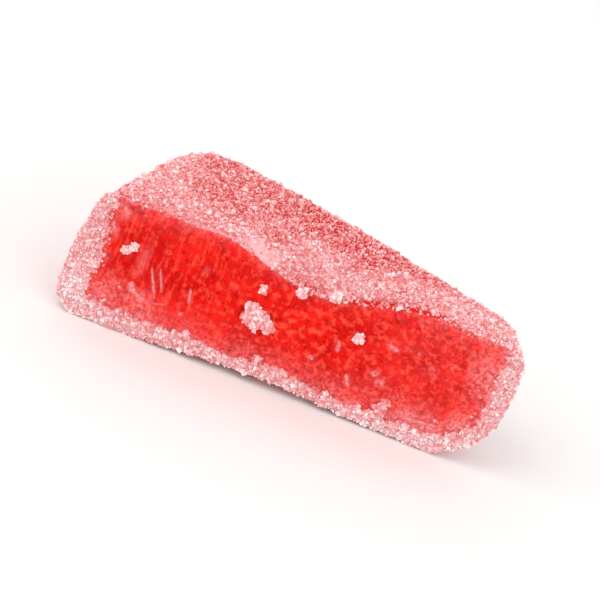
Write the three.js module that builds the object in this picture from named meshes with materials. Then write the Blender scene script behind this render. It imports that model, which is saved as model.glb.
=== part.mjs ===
// A piece of sugared red fruit jelly: one corner sliced off a thick, diamond-shaped slab.
// It is one solid, out to the top of the sugar crust on every side but the cut one.
//
// Millimetres. +X runs along the cut face, which looks towards -Y, and +Z is up.
// The piece lies on its flat base. The origin is the middle of the underside of its bounding box.

import * as THREE from "three";
import { mergeVertices } from "three/addons/utils/BufferGeometryUtils.js";

// The slab that the piece was sliced from.
const slabThickness = 12.1;
const topRadius = 1.6; // where the top turns into the sides
const baseRadius = { wideEnd: 2.4, narrowEnd: 5.2 }; // where the base turns into the sides
const cornerRadius = { wideEnd: 7.5, narrowEnd: 2.6 }; // the upright corners at the back
const sideSwell = 0.6; // the sides stand out this far at mid height
const surfaceWave = 0.15; // slow unevenness of the top and the back

// The piece from above: the cut face runs along y = 0, and the slab's own side faces lie behind it.
const cutStart = new THREE.Vector2(0.8, 0);
const cutEnd = new THREE.Vector2(38.9, 0);
const backStart = new THREE.Vector2(6.6, 17.9);
const backEnd = new THREE.Vector2(37.2, 5.8);

// The cut face, as the blade left it.
const lean = 1.2; // each end stands this much further along at the top than at the base
const faceSwell = 0.3; // the soft face stands out this far in its middle
const drag = {
  depth: 2.1, // how far the blade pulled the top edge down
  centre: 20.8, // along the cut
  reach: 9.8,
  reachBack: 4.6, // behind the cut
};
const arch = {
  height: 0.75, // the base edge under the cut lifts this far
  centre: 19,
  reach: 15,
  reachBack: 4,
};

// Slow ripples over a surface: each one's share of the height, radians per millimetre and start.
const ripples = [
  { share: 0.6, perA: 0.42, perB: 0.35, start: 0.8 },
  { share: 0.4, perA: -0.58, perB: 0.71, start: 2.1 },
];

// Divisions of the surface along, across and up the piece.
const divisions = { along: 50, across: 17, up: 15 };
const edgeCrowding = 0.55; // 0 spaces the divisions evenly, 1 crowds them most at the edges

// A share from 0 to 1, drawn towards both ends so that the rounded edges get more divisions.
function crowd(share) {
  const drawn = 0.5 - 0.5 * Math.cos(Math.PI * share);
  return THREE.MathUtils.lerp(share, drawn, edgeCrowding);
}

// A smooth hump: 1 where the distance is nought, 0 from the reach onwards.
function hump(distance, reach) {
  const share = Math.min(Math.abs(distance) / reach, 1);
  return 0.5 + 0.5 * Math.cos(Math.PI * share);
}

// Slow unevenness from -1 to 1 over a surface measured by a and b.
function wave(a, b) {
  return ripples.reduce((sum, r) => sum + r.share * Math.sin(r.perA * a + r.perB * b + r.start), 0);
}

// Rounds the edges of a block: the point is drawn in towards an inner box that stands back by the radius.
function roundOff(point, inner) {
  const nearest = inner.clampPoint(point, new THREE.Vector3());
  const outward = point.clone().sub(nearest);
  const reach = Math.max(Math.abs(outward.x), Math.abs(outward.y), Math.abs(outward.z));
  return nearest.addScaledVector(outward.normalize(), reach);
}

// The inner box for a radius. Its front stays at the cut face, which keeps its sharp edges.
function innerBox(length, depth, radius, gapAtTopAndBase) {
  return new THREE.Box3(
    new THREE.Vector3(radius, 0, gapAtTopAndBase),
    new THREE.Vector3(length - radius, depth - radius, slabThickness - gapAtTopAndBase),
  );
}

// Takes shares along, across and up the piece to the surface of a block with rounded edges.
function onRoundedBlock(along, across, up) {
  const length = cutStart.distanceTo(cutEnd);
  const depth = THREE.MathUtils.lerp(backStart.y, backEnd.y, along);
  const sharp = new THREE.Vector3(along * length, across * depth, up * slabThickness);
  const lowRadius = THREE.MathUtils.lerp(baseRadius.wideEnd, baseRadius.narrowEnd, along);
  const edgeRadius = up > 0.5 ? topRadius : lowRadius;
  const uprightRadius = THREE.MathUtils.lerp(cornerRadius.wideEnd, cornerRadius.narrowEnd, along);
  const softened = roundOff(sharp, innerBox(length, depth, edgeRadius, edgeRadius));
  const point = roundOff(softened, innerBox(length, depth, uprightRadius, 0));
  return {
    point,
    alongShare: point.x / length,
    depthShare: point.y / depth,
    heightShare: point.z / slabThickness,
  };
}

// Takes shares along, across and up the piece, each from 0 to 1, to a place on its surface.
function place(along, across, up) {
  const { point, alongShare, depthShare, heightShare } = onRoundedBlock(along, across, up);
  const midHeight = Math.sin(Math.PI * heightShare);
  const nearEnds = (2 * alongShare - 1) ** 5;
  const nearBack = depthShare ** 3;
  const nearTop = heightShare ** 2;
  const nearBase = (1 - heightShare) ** 2;

  // From above the block is a wedge, wide at one end and narrow at the other.
  const front = cutStart.clone().lerp(cutEnd, alongShare);
  const back = backStart.clone().lerp(backEnd, alongShare);
  const placed = new THREE.Vector3(THREE.MathUtils.lerp(front.x, back.x, depthShare), point.y, point.z);

  // The piece leans along the cut, its sides swell and the cut face stands out a little.
  placed.x += lean * (heightShare - 0.5) + sideSwell * midHeight * nearEnds;
  placed.y += sideSwell * midHeight * nearBack;
  placed.y += surfaceWave * midHeight * depthShare * wave(placed.x, placed.z);
  placed.y -= faceSwell * midHeight * Math.sin(Math.PI * alongShare) * (1 - depthShare);

  // The top is uneven. Its front edge hangs where the blade dragged it down, and the base arches there.
  const dragged = drag.depth * hump(placed.x - drag.centre, drag.reach) * hump(placed.y, drag.reachBack);
  const arched = arch.height * hump(placed.x - arch.centre, arch.reach) * hump(placed.y, arch.reachBack);
  placed.z += (surfaceWave * wave(placed.x, placed.y) - dragged) * nearTop + arched * nearBase;
  return placed;
}

// One closed surface: a grid over all six faces of a cube, each point taken to its place.
function makeJellyCandy() {
  const cube = new THREE.BoxGeometry(1, 1, 1, divisions.along, divisions.across, divisions.up);
  cube.deleteAttribute("normal");
  cube.deleteAttribute("uv");
  const geometry = mergeVertices(cube);
  const points = geometry.getAttribute("position");
  for (let i = 0; i < points.count; i += 1) {
    const placed = place(
      crowd(points.getX(i) + 0.5),
      crowd(points.getY(i) + 0.5),
      crowd(points.getZ(i) + 0.5),
    );
    points.setXYZ(i, placed.x, placed.y, placed.z);
  }

  geometry.computeBoundingBox();
  const { min, max } = geometry.boundingBox;
  geometry.translate(-(min.x + max.x) / 2, -(min.y + max.y) / 2, -min.z);
  geometry.computeVertexNormals();

  const material = new THREE.MeshStandardMaterial({ color: 0xf08c8c, roughness: 0.55, metalness: 0 });
  const candy = new THREE.Mesh(geometry, material);
  candy.name = "jelly_candy";
  return candy;
}

const group = new THREE.Group();
group.add(makeJellyCandy());

export default group;
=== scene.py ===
"""A wedge cut from a slab of red fruit jelly candy, under its crust of granulated sugar.

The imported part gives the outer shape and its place. Here the real thing stands in that place: a jelly body
that stays a crust's thickness inside the shape wherever sugar lies, and the sugar as separate crystals that
fill the rest. The only bare side is the cut face, which keeps its wet gloss and a little sugar that the
blade dragged over it.

The shape and its marks are given in millimetres, in the wedge's own frame, and Place takes them to the
part's frame, in metres. Along is measured from the wide end of the cut, deep from the cut backwards and
high from the base. In the part's frame they are +X, +Y and +Z.
"""

import logging
import math
from dataclasses import dataclass, field
from enum import Enum

import bmesh
import bpy
import numpy as np
from mathutils import Euler, Matrix, Vector, noise


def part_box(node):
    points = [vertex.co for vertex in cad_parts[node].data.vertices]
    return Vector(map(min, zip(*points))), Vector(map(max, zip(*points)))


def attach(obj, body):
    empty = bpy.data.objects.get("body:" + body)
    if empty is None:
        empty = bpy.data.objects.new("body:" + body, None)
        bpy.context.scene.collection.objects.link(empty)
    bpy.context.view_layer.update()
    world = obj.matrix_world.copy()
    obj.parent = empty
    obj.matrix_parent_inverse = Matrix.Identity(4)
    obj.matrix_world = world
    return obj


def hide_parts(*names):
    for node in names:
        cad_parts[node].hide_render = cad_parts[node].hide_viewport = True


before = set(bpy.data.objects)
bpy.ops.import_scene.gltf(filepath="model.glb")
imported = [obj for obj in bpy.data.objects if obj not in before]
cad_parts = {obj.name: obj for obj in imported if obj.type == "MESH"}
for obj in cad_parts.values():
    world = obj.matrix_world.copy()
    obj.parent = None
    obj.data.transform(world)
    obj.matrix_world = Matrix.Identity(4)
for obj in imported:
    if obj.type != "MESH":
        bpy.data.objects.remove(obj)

LOG = logging.getLogger("jelly_candy")
NODE = "jelly_candy"
BODY = "root"
MM = 0.001

# Attributes of the sugar's meshes.
TINT = "tint"
GRAIN_TINT = "grain_tint"
OUTSIDE = "outside"

# What a paleness of 1 adds to a grain's tint.
PALE_TINT = 0.2


class Slot(str, Enum):
    """The record's material slots."""

    JELLY = "red_jelly"
    SUGAR = "coating_sugar"


class Mask(str, Enum):
    """Vertex attributes of the jelly body, each from 0 to 1, apart from PALE, which may pass 1 on the rim."""

    CRUST = "crust"
    VEIL = "veil"
    STROKE = "stroke"
    RIM = "rim_grains"
    FINE = "fine_grains"
    MAIN = "main_grains"
    COARSE = "coarse_grains"
    PALE = "pale"


class Habit(Enum):
    """How a sugar crystal is shaped: each value is its number of points along an edge before the hull."""

    TABLET = 2
    CHAMFERED = 3


# ---------------------------------------------------------------------------------------------------------
# Helpers


def linear(colour: str) -> tuple[float, float, float, float]:
    """Turns an sRGB hex colour to linear RGBA.

    Args:
        colour: Six hex digits after a hash.

    Returns:
        The colour as a shader socket takes it, with an alpha of 1.
    """
    parts = [int(colour[i : i + 2], 16) / 255 for i in (1, 3, 5)]
    steps = [p / 12.92 if p <= 0.04045 else ((p + 0.055) / 1.055) ** 2.4 for p in parts]
    return (*steps, 1.0)


def add_node(
    tree: bpy.types.NodeTree, kind: str, inputs: dict[str | int, object] | None = None, **settings: object
) -> bpy.types.Node:
    """Adds one node with its settings, input values and incoming links.

    Args:
        tree: The tree that the node joins.
        kind: The node's type name.
        inputs: Values by input name or number. A socket is linked, and anything else is set.
        settings: Properties of the node itself.

    Returns:
        The new node.
    """
    node = tree.nodes.new(kind)
    for name, value in settings.items():
        setattr(node, name, value)
    for key, value in (inputs or {}).items():
        if isinstance(value, bpy.types.NodeSocket):
            tree.links.new(value, node.inputs[key])
        else:
            node.inputs[key].default_value = value
    return node


def new_piece(name: str, mesh: bpy.types.Mesh) -> bpy.types.Object:
    """Links a mesh as an object at the origin.

    Args:
        name: The object's name.
        mesh: Its mesh, which holds its place.

    Returns:
        The object.
    """
    piece = bpy.data.objects.new(name, mesh)
    bpy.context.scene.collection.objects.link(piece)
    return piece


def between(first: float, last: float, share: np.ndarray) -> np.ndarray:
    """Returns the values that lie at shares of the way from the first to the last."""
    return first + (last - first) * share


def smooth_step(low: float, high: float, values: np.ndarray) -> np.ndarray:
    """Returns 0 below low, 1 above high and a smooth rise between. It falls if low is the greater."""
    share = np.clip((values - low) / (high - low), 0.0, 1.0)
    return share * share * (3.0 - 2.0 * share)


def hump(distance: np.ndarray, reach: np.ndarray | float) -> np.ndarray:
    """Returns 1 where the distance is nought, 0 from the reach onwards and a smooth fall between."""
    return 0.5 + 0.5 * np.cos(np.pi * np.minimum(np.abs(distance) / reach, 1.0))


# ---------------------------------------------------------------------------------------------------------
# How a look changes over a surface


@dataclass(frozen=True)
class Mottle:
    """Smooth noise in space.

    Attributes:
        size_mm: Its usual spacing.
        offset: Moves it, so that two layers differ.
        strength: What it adds or takes at most, as a rule.
        gain: Brings the noise's own peaks to about 1.
    """

    size_mm: float
    offset: float
    strength: float = 1.0
    gain: float = 1.6

    def at(self, places: np.ndarray) -> np.ndarray:
        """Returns the noise at places in millimetres, one row each."""
        scaled = places / self.size_mm + self.offset
        return self.strength * (np.array([noise.noise(Vector(p)) for p in scaled]) * self.gain)


@dataclass(frozen=True)
class Zone:
    """A stretch of one side of the piece. Each fade is the place where it is nought and where it is full.

    Attributes:
        strength: What it adds where it is full.
        along: How it fades in along the piece.
        across: How it fades in up the cut face, or back over another side.
        until: How it fades out again along the piece.
    """

    strength: float
    along: tuple[float, float] | None = None
    across: tuple[float, float] | None = None
    until: tuple[float, float] | None = None

    def at(self, along: np.ndarray, across: np.ndarray) -> np.ndarray:
        """Works out what it adds.

        Args:
            along: How far along the piece each point is.
            across: How far up the cut face, or back over another side, it is.

        Returns:
            What it adds at each point.
        """
        value = np.full(len(along), self.strength)
        for fade, places in ((self.along, along), (self.across, across), (self.until, along)):
            if fade:
                value = value * smooth_step(*fade, places)
        return value


@dataclass(frozen=True)
class Spot:
    """A round place on one side of the piece.

    Attributes:
        along: Its middle, along the piece.
        across: Its middle, up the cut face or back over another side.
        reach: How far off its middle it is nought.
        strength: What it adds in its middle.
    """

    along: float
    across: float
    reach: float
    strength: float = 0.7

    def at(self, along: np.ndarray, across: np.ndarray) -> np.ndarray:
        """Returns what it adds at places along and across."""
        return hump(np.hypot(along - self.along, across - self.across), self.reach) * self.strength


@dataclass(frozen=True)
class Fringe:
    """What thins out away from an edge.

    Attributes:
        strength: How much of it there is on the edge.
        reach: How far off a third of that is left.
    """

    strength: float
    reach: float

    def at(self, distance: np.ndarray) -> np.ndarray:
        """Returns what is left at a distance, which counts as nought if it is below nought."""
        return self.strength * np.exp(-np.maximum(distance, 0) / self.reach)


@dataclass(frozen=True)
class Uneven:
    """A share that varies over the surface.

    Attributes:
        level: What it usually is.
        layers: The noise round that.
        most: The most that it may be.
    """

    level: float
    layers: tuple[Mottle, ...]
    most: float = 1.0

    def at(self, places: np.ndarray, extra: np.ndarray | float = 0.0) -> np.ndarray:
        """Returns the share at places in millimetres, one row each, with something extra added."""
        return np.clip(self.level + mottled(self.layers, places) + extra, 0, self.most)


def mottled(layers: tuple[Mottle, ...], places: np.ndarray) -> np.ndarray:
    """Adds up layers of noise at places in millimetres, one row each."""
    return sum(layer.at(places) for layer in layers)


def total(marks: tuple[Zone | Spot, ...], along: np.ndarray, across: np.ndarray) -> np.ndarray:
    """Adds up what zones and spots give at places along the piece and across one of its sides."""
    return sum(mark.at(along, across) for mark in marks)


@dataclass(frozen=True)
class Cloud:
    """A noise texture's patches.

    Attributes:
        size_mm: How large they are.
        detail: How many finer layers they have.
        roughness: How strong each finer layer is, against the one before it.
    """

    size_mm: float
    detail: float = 2.0
    roughness: float = 0.6

    def inputs(self, where: bpy.types.NodeSocket) -> dict[str, object]:
        """Returns a noise node's inputs."""
        scale = 1 / (self.size_mm * MM)
        return {"Vector": where, "Scale": scale, "Detail": self.detail, "Roughness": self.roughness}


@dataclass(frozen=True)
class Spread:
    """How a value is stretched. It stays between the two ends.

    Attributes:
        low: The value that gives the first end.
        high: The value that gives the second.
        least: The first end.
        most: The second.
    """

    low: float
    high: float
    least: float = 0.0
    most: float = 1.0

    def inputs(self, value: bpy.types.NodeSocket) -> dict[str, object]:
        """Returns a map range node's inputs."""
        ends = {"From Min": self.low, "From Max": self.high, "To Min": self.least, "To Max": self.most}
        return {"Value": value, **ends}


# ---------------------------------------------------------------------------------------------------------
# The outer shape


@dataclass(frozen=True)
class WedgeShape:
    """The piece's outer shape, to the top of its crust, in millimetres.

    Attributes:
        thickness: The slab's.
        top_radius: Where the top turns into the sides.
        base_radius: Where the base does, at the wide and the narrow end.
        corner_radius: The upright corners at the back, at the wide and the narrow end.
        swell: How far the sides stand out at mid height.
        unevenness: The height of the slow ripples on the top and the back.
        ripples: For each, its share of that height, its radians per millimetre both ways and its start.
        cut_start: Where the cut begins along the piece.
        cut_end: Where it ends.
        back_start: The corner behind the wide end, along and deep.
        back_end: The corner behind the narrow end, along and deep.
        lean: How much further along the top of each end stands than its base.
        face_swell: How far the soft cut face stands out in its middle.
        drag_depth: How far the blade pulled the top's front edge down.
        drag_centre: Where along the cut it did so.
        drag_reach: How far that goes along the cut.
        drag_back: How far it goes back.
        arch_height: How far the base's front edge lifts.
        arch_centre: Where along the cut it lifts most.
        arch_reach: How far that goes along the cut.
        arch_back: How far it goes back.
    """

    thickness: float = 12.1
    top_radius: float = 1.6
    base_radius: tuple[float, float] = (2.4, 5.2)
    corner_radius: tuple[float, float] = (7.5, 2.6)
    swell: float = 0.6
    unevenness: float = 0.15
    ripples: tuple[tuple[float, ...], ...] = ((0.6, 0.42, 0.35, 0.8), (0.4, -0.58, 0.71, 2.1))
    cut_start: float = 0.8
    cut_end: float = 38.9
    back_start: tuple[float, float] = (6.6, 17.9)
    back_end: tuple[float, float] = (37.2, 5.8)
    lean: float = 1.2
    face_swell: float = 0.3
    drag_depth: float = 2.1
    drag_centre: float = 20.8
    drag_reach: float = 9.8
    drag_back: float = 4.6
    arch_height: float = 0.75
    arch_centre: float = 19.0
    arch_reach: float = 15.0
    arch_back: float = 4.0

    @property
    def length(self) -> float:
        """The cut's length before its ends swell."""
        return self.cut_end - self.cut_start

    def depth(self, along: np.ndarray) -> np.ndarray:
        """Returns the depth behind the cut at shares along it."""
        return between(self.back_start[1], self.back_end[1], along)

    def wave(self, a: np.ndarray, b: np.ndarray) -> np.ndarray:
        """Returns slow unevenness from -1 to 1 over a surface measured by a and b."""
        return sum(share * np.sin(per_a * a + per_b * b + at) for share, per_a, per_b, at in self.ripples)

    @staticmethod
    def round_off(points: np.ndarray, low: np.ndarray, high: np.ndarray) -> np.ndarray:
        """Rounds a block's edges by drawing each point in towards an inner box.

        Args:
            points: Places in or on the block, one row each.
            low: The inner box's lowest corner for each point.
            high: The inner box's highest corner for each point.

        Returns:
            The drawn-in places.
        """
        nearest = np.clip(points, low, high)
        outward = points - nearest
        reach = np.abs(outward).max(axis=1, keepdims=True)
        distance = np.linalg.norm(outward, axis=1, keepdims=True)
        return nearest + outward * reach / np.maximum(distance, 1e-9)

    def place(self, shares: np.ndarray) -> np.ndarray:
        """Takes shares along, across and up the piece, each from 0 to 1, to places in or on it.

        Args:
            shares: One row of three shares for each point.

        Returns:
            Places in millimetres, one row each.
        """
        along, across, up = shares.T
        depth = self.depth(along)
        sharp = np.column_stack([along * self.length, across * depth, up * self.thickness])
        radius = np.where(up > 0.5, self.top_radius, between(*self.base_radius, along))
        nought = np.zeros_like(along)
        softened = self.round_off(
            sharp,
            np.column_stack([radius, nought, radius]),
            np.column_stack([self.length - radius, depth - radius, self.thickness - radius]),
        )
        corner = between(*self.corner_radius, along)
        block = self.round_off(
            softened,
            np.column_stack([corner, nought, nought]),
            np.column_stack([self.length - corner, depth - corner, nought + self.thickness]),
        )
        return self.bend(block[:, 0] / self.length, block[:, 1] / depth, block)

    def bend(self, along: np.ndarray, deep: np.ndarray, block: np.ndarray) -> np.ndarray:
        """Turns the rounded block to the wedge, and gives it its swell, its lean and the blade's marks.

        Args:
            along: Shares of the length.
            deep: Shares of the local depth.
            block: Places on the rounded block, in millimetres.

        Returns:
            Places on the wedge, in millimetres.
        """
        up = block[:, 2] / self.thickness
        middle = np.sin(np.pi * up)
        front = self.cut_start + self.length * along
        back = between(self.back_start[0], self.back_end[0], along)
        x = front + (back - front) * deep
        x = x + self.lean * (up - 0.5) + self.swell * middle * (2 * along - 1) ** 5
        y = block[:, 1] + self.swell * middle * deep**3
        y = y + self.unevenness * middle * deep * self.wave(x, block[:, 2])
        y = y - self.face_swell * middle * np.sin(np.pi * along) * (1 - deep)
        dragged = self.drag_depth * hump(x - self.drag_centre, self.drag_reach) * hump(y, self.drag_back)
        arched = self.arch_height * hump(x - self.arch_centre, self.arch_reach) * hump(y, self.arch_back)
        z = block[:, 2] + (self.unevenness * self.wave(x, y) - dragged) * up**2 + arched * (1 - up) ** 2
        return np.column_stack([x, y, z])

    def on_cut(self, along: float, high: float) -> np.ndarray:
        """Works out a place on the cut face. The lean is too small to shift it out or in.

        Args:
            along: Its distance along the piece, in millimetres.
            high: Its height.

        Returns:
            The place, in millimetres.
        """
        share = (along - self.cut_start) / self.length
        middle = math.sin(math.pi * high / self.thickness)
        return np.array([along, -self.face_swell * middle * math.sin(math.pi * share), high])


@dataclass(frozen=True)
class Lattice:
    """A grid over the six faces of a box, with each shared point once.

    Attributes:
        counts: Divisions along, across and up.
        crowding: 0 spaces the divisions evenly, 1 crowds them most at the edges.
    """

    counts: tuple[int, int, int]
    crowding: float = 0.35

    def points(self) -> np.ndarray:
        """Lists every point on the surface.

        Returns:
            The shares along, across and up, one row for each point.
        """
        every = np.indices(np.array(self.counts) + 1).reshape(3, -1).T
        shares = every[self._on_surface(every)] / np.array(self.counts)
        drawn = 0.5 - 0.5 * np.cos(np.pi * shares)
        return between(shares, drawn, self.crowding)

    def quads(self) -> np.ndarray:
        """Lists every quad on the surface, facing out.

        Returns:
            The numbers of its corners, as points() lists them, one row for each quad.
        """
        size = np.array(self.counts) + 1
        every = np.indices(size).reshape(3, -1).T
        outside = self._on_surface(every)
        numbers = np.full(len(every), -1)
        numbers[outside] = np.arange(outside.sum())
        numbers = numbers.reshape(size)
        sides = []
        for axis in range(3):
            for end in (0, -1):
                grid = np.take(numbers, end, axis=axis)
                loop = np.stack([grid[:-1, :-1], grid[1:, :-1], grid[1:, 1:], grid[:-1, 1:]], axis=-1)
                loop = loop.reshape(-1, 4)
                turned = (end == 0) != (axis == 1)
                sides.append(loop[:, ::-1] if turned else loop)
        return np.concatenate(sides)

    def _on_surface(self, every: np.ndarray) -> np.ndarray:
        """Returns which lattice points lie on a face."""
        return ((every == 0) | (every == np.array(self.counts))).any(axis=1)


@dataclass
class Place:
    """Carries places from the wedge's own millimetres to the part's frame.

    Attributes:
        shape: The wedge.
        measured_by: The lattice whose points give the wedge's box.
        low_mm: The lowest corner of that box.
        low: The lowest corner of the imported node, in metres.
    """

    shape: WedgeShape
    measured_by: Lattice = Lattice((60, 24, 24))
    low_mm: np.ndarray = field(init=False)
    low: np.ndarray = field(init=False)

    def __post_init__(self) -> None:
        """Measures both boxes."""
        self.low_mm = self.shape.place(self.measured_by.points()).min(axis=0)
        self.low = np.array(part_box(NODE)[0])

    def to_row(self, places_mm: np.ndarray) -> np.ndarray:
        """Takes places on the wedge to the part's frame, in metres."""
        return (places_mm - self.low_mm) * MM + self.low


# ---------------------------------------------------------------------------------------------------------
# Finishes


@dataclass(frozen=True)
class PectinJelly:
    """Set fruit jelly: a red gel that scatters light softly under a wet skin.

    Light enters, turns red within a few millimetres and comes out again, so the body glows rather than
    shades, and thin or dusted places look paler. The knife leaves the cut smooth, so it keeps a soft gloss,
    with streaks near the wide end where the blade went in. Under the sugar it is a rough, pale paste.

    Attributes:
        deep: The red of most of the jelly.
        bright: The red of the patches that glow more.
        speck: The red of the dark specks.
        flecked: The colour of the cut's flecks and streaks.
        dusted: The colour of jelly under fine sugar.
        under_sugar: The colour of jelly between grains, with no sugar in it.
        sugar_paste: The colour of the paste of jelly and sugar between grains.
        packed_sugar: The same where the sugar is thick.
        patches: The pattern of the glowing patches.
        specks: The pattern of the specks.
        flecks: The pattern of the flecks.
        dust: The pattern of the dust and the paste.
        relief: The pattern of the skin's fine relief.
        patch_spread: Turns the patches' pattern to the share of their colour.
        speck_spread: Does that for the specks.
        fleck_spread: Does that for the flecks and the streaks.
        dust_spread: Turns the dust's pattern to what the veil is multiplied by.
        paste_spread: Turns it to the share of thick sugar in the paste.
        streak_mm: How wide and how long the blade's streaks are.
        streak_lean: How far they lean from upright, in degrees.
        streaky: Where along the piece streaks turn to flecks, in metres, and their share at both places.
        stroke_share: How much of the dust's colour the sugar in a knife mark takes.
        gloss: The bare jelly's roughness.
        crust_roughness: The roughness under the sugar.
        relief_mm: The fine relief's height.
        relief_strength: How much of it shows.
        ior: The IOR, that of thick sugar syrup.
        specular: The specular level, which is low because a thin film of dust dulls the skin.
        scatter_weight: How much of the light scatters inside.
        scatter_mm: How far it travels there.
        scatter_radius: How far each colour does, as shares of scatter_mm.
    """

    deep: str = "#D40200"
    bright: str = "#F01A0E"
    speck: str = "#B60000"
    flecked: str = "#FA5440"
    dusted: str = "#FFA0A2"
    under_sugar: str = "#DC1E18"
    sugar_paste: str = "#FFA8AA"
    packed_sugar: str = "#FFC8CA"
    patches: Cloud = Cloud(2.6, 3.0, 0.55)
    specks: Cloud = Cloud(0.5)
    flecks: Cloud = Cloud(0.6, 2.0, 0.55)
    dust: Cloud = Cloud(0.28)
    relief: Cloud = Cloud(0.9, 3.0)
    patch_spread: Spread = Spread(0.38, 0.66)
    speck_spread: Spread = Spread(0.46, 0.34, 0.0, 0.85)
    fleck_spread: Spread = Spread(0.485, 0.665, 0.0, 0.9)
    dust_spread: Spread = Spread(0.4, 0.62, 0.3, 1.15)
    paste_spread: Spread = Spread(0.35, 0.65)
    streak_mm: tuple[float, float] = (0.32, 2.4)
    streak_lean: float = 20.0
    streaky: Spread = Spread(-10 * MM, -1 * MM, 0.5, 0.1)
    stroke_share: float = 0.45
    gloss: float = 0.3
    crust_roughness: float = 0.6
    relief_mm: float = 0.15
    relief_strength: float = 0.25
    ior: float = 1.45
    specular: float = 0.1
    scatter_weight: float = 0.55
    scatter_mm: float = 1.6
    scatter_radius: tuple[float, float, float] = (1.0, 0.12, 0.08)

    def streaked(self, tree: bpy.types.NodeTree, where: bpy.types.NodeSocket) -> bpy.types.NodeSocket:
        """Builds the cut's pale marks: drawn-out streaks near the wide end and round flecks elsewhere.

        Args:
            tree: The material's tree.
            where: The place on the piece.

        Returns:
            The marks' height.
        """
        flecks = add_node(tree, "ShaderNodeTexNoise", self.flecks.inputs(where))
        wide, long = (1 / (size * MM) for size in self.streak_mm)
        turn = (0.0, math.radians(-self.streak_lean), 0.0)
        drawn_out = add_node(
            tree, "ShaderNodeMapping", {"Vector": where, "Rotation": turn, "Scale": (wide, wide, long)}
        )
        streaks = add_node(
            tree, "ShaderNodeTexNoise",
            {"Vector": drawn_out.outputs["Vector"], "Scale": 1.0, "Detail": 2.0, "Roughness": 0.6},
        )
        along = add_node(tree, "ShaderNodeSeparateXYZ", {0: where}).outputs["X"]
        streaky = add_node(tree, "ShaderNodeMapRange", self.streaky.inputs(along))
        marks = add_node(
            tree, "ShaderNodeMix",
            {0: streaky.outputs["Result"], 2: flecks.outputs["Fac"], 3: streaks.outputs["Fac"]},
            data_type="FLOAT",
        )
        return marks.outputs["Result"]

    def red(self, tree: bpy.types.NodeTree, where: bpy.types.NodeSocket) -> bpy.types.NodeSocket:
        """Builds the bare jelly's colour: patches of two reds, then dark specks, then pale marks.

        Args:
            tree: The material's tree.
            where: The place on the piece.

        Returns:
            The colour.
        """
        patches = add_node(tree, "ShaderNodeTexNoise", self.patches.inputs(where)).outputs["Fac"]
        specks = add_node(tree, "ShaderNodeTexNoise", self.specks.inputs(where)).outputs["Fac"]
        colour = linear(self.deep)
        for pattern, spread, over in (
            (patches, self.patch_spread, self.bright),
            (specks, self.speck_spread, self.speck),
            (self.streaked(tree, where), self.fleck_spread, self.flecked),
        ):
            share = add_node(tree, "ShaderNodeMapRange", spread.inputs(pattern))
            layers = {0: share.outputs["Result"], 6: colour, 7: linear(over)}
            colour = add_node(tree, "ShaderNodeMix", layers, data_type="RGBA").outputs[2]
        return colour

    def colour(
        self, tree: bpy.types.NodeTree, where: bpy.types.NodeSocket, masks: dict[Mask, bpy.types.NodeSocket]
    ) -> bpy.types.NodeSocket:
        """Builds the whole surface's colour: red under dust on the cut, and paste under the sugar.

        Args:
            tree: The material's tree.
            where: The place on the piece.
            masks: The body's masks.

        Returns:
            The colour.
        """
        dust = add_node(tree, "ShaderNodeTexNoise", self.dust.inputs(where)).outputs["Fac"]
        dust_share = add_node(tree, "ShaderNodeMapRange", self.dust_spread.inputs(dust))
        veiled = add_node(
            tree, "ShaderNodeMath",
            {0: masks[Mask.VEIL], 1: dust_share.outputs["Result"]}, operation="MULTIPLY",
        )
        scratched = add_node(
            tree, "ShaderNodeMath",
            {0: masks[Mask.STROKE], 1: self.stroke_share, 2: veiled.outputs["Value"]},
            operation="MULTIPLY_ADD", use_clamp=True,
        )
        dusty = add_node(
            tree, "ShaderNodeMix",
            {0: scratched.outputs["Value"], 6: self.red(tree, where), 7: linear(self.dusted)},
            data_type="RGBA",
        )
        packed = add_node(tree, "ShaderNodeMapRange", self.paste_spread.inputs(dust))
        paste = add_node(
            tree, "ShaderNodeMix",
            {0: packed.outputs["Result"], 6: linear(self.sugar_paste), 7: linear(self.packed_sugar)},
            data_type="RGBA",
        )
        crusted = add_node(
            tree, "ShaderNodeMix",
            {0: masks[Mask.PALE], 6: linear(self.under_sugar), 7: paste.outputs[2]},
            data_type="RGBA",
        )
        both = {0: masks[Mask.CRUST], 6: dusty.outputs[2], 7: crusted.outputs[2]}
        return add_node(tree, "ShaderNodeMix", both, data_type="RGBA").outputs[2]

    def make(self) -> bpy.types.Material:
        """Builds the material.

        Returns:
            The finished material.
        """
        material = bpy.data.materials.new("pectin_jelly")
        material.use_nodes = True
        tree = material.node_tree
        tree.nodes.clear()
        where = add_node(tree, "ShaderNodeTexCoord").outputs["Object"]
        masks = {
            mask: add_node(tree, "ShaderNodeAttribute", attribute_name=mask.value).outputs["Fac"]
            for mask in (Mask.CRUST, Mask.VEIL, Mask.STROKE, Mask.PALE)
        }
        rough = Spread(0.0, 1.0, self.gloss, self.crust_roughness)
        roughness = add_node(tree, "ShaderNodeMapRange", rough.inputs(masks[Mask.CRUST]))
        height = add_node(tree, "ShaderNodeTexNoise", self.relief.inputs(where)).outputs["Fac"]
        bump = add_node(
            tree, "ShaderNodeBump",
            {"Height": height, "Strength": self.relief_strength, "Distance": self.relief_mm * MM},
        )
        shader = add_node(
            tree, "ShaderNodeBsdfPrincipled",
            {
                "Base Color": self.colour(tree, where, masks),
                "Roughness": roughness.outputs["Result"],
                "IOR": self.ior,
                "Specular IOR Level": self.specular,
                "Subsurface Weight": self.scatter_weight,
                "Subsurface Radius": self.scatter_radius,
                "Subsurface Scale": self.scatter_mm * MM,
                "Normal": bump.outputs["Normal"],
            },
        )
        add_node(tree, "ShaderNodeOutputMaterial", {"Surface": shader.outputs["BSDF"]})
        return material


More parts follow.
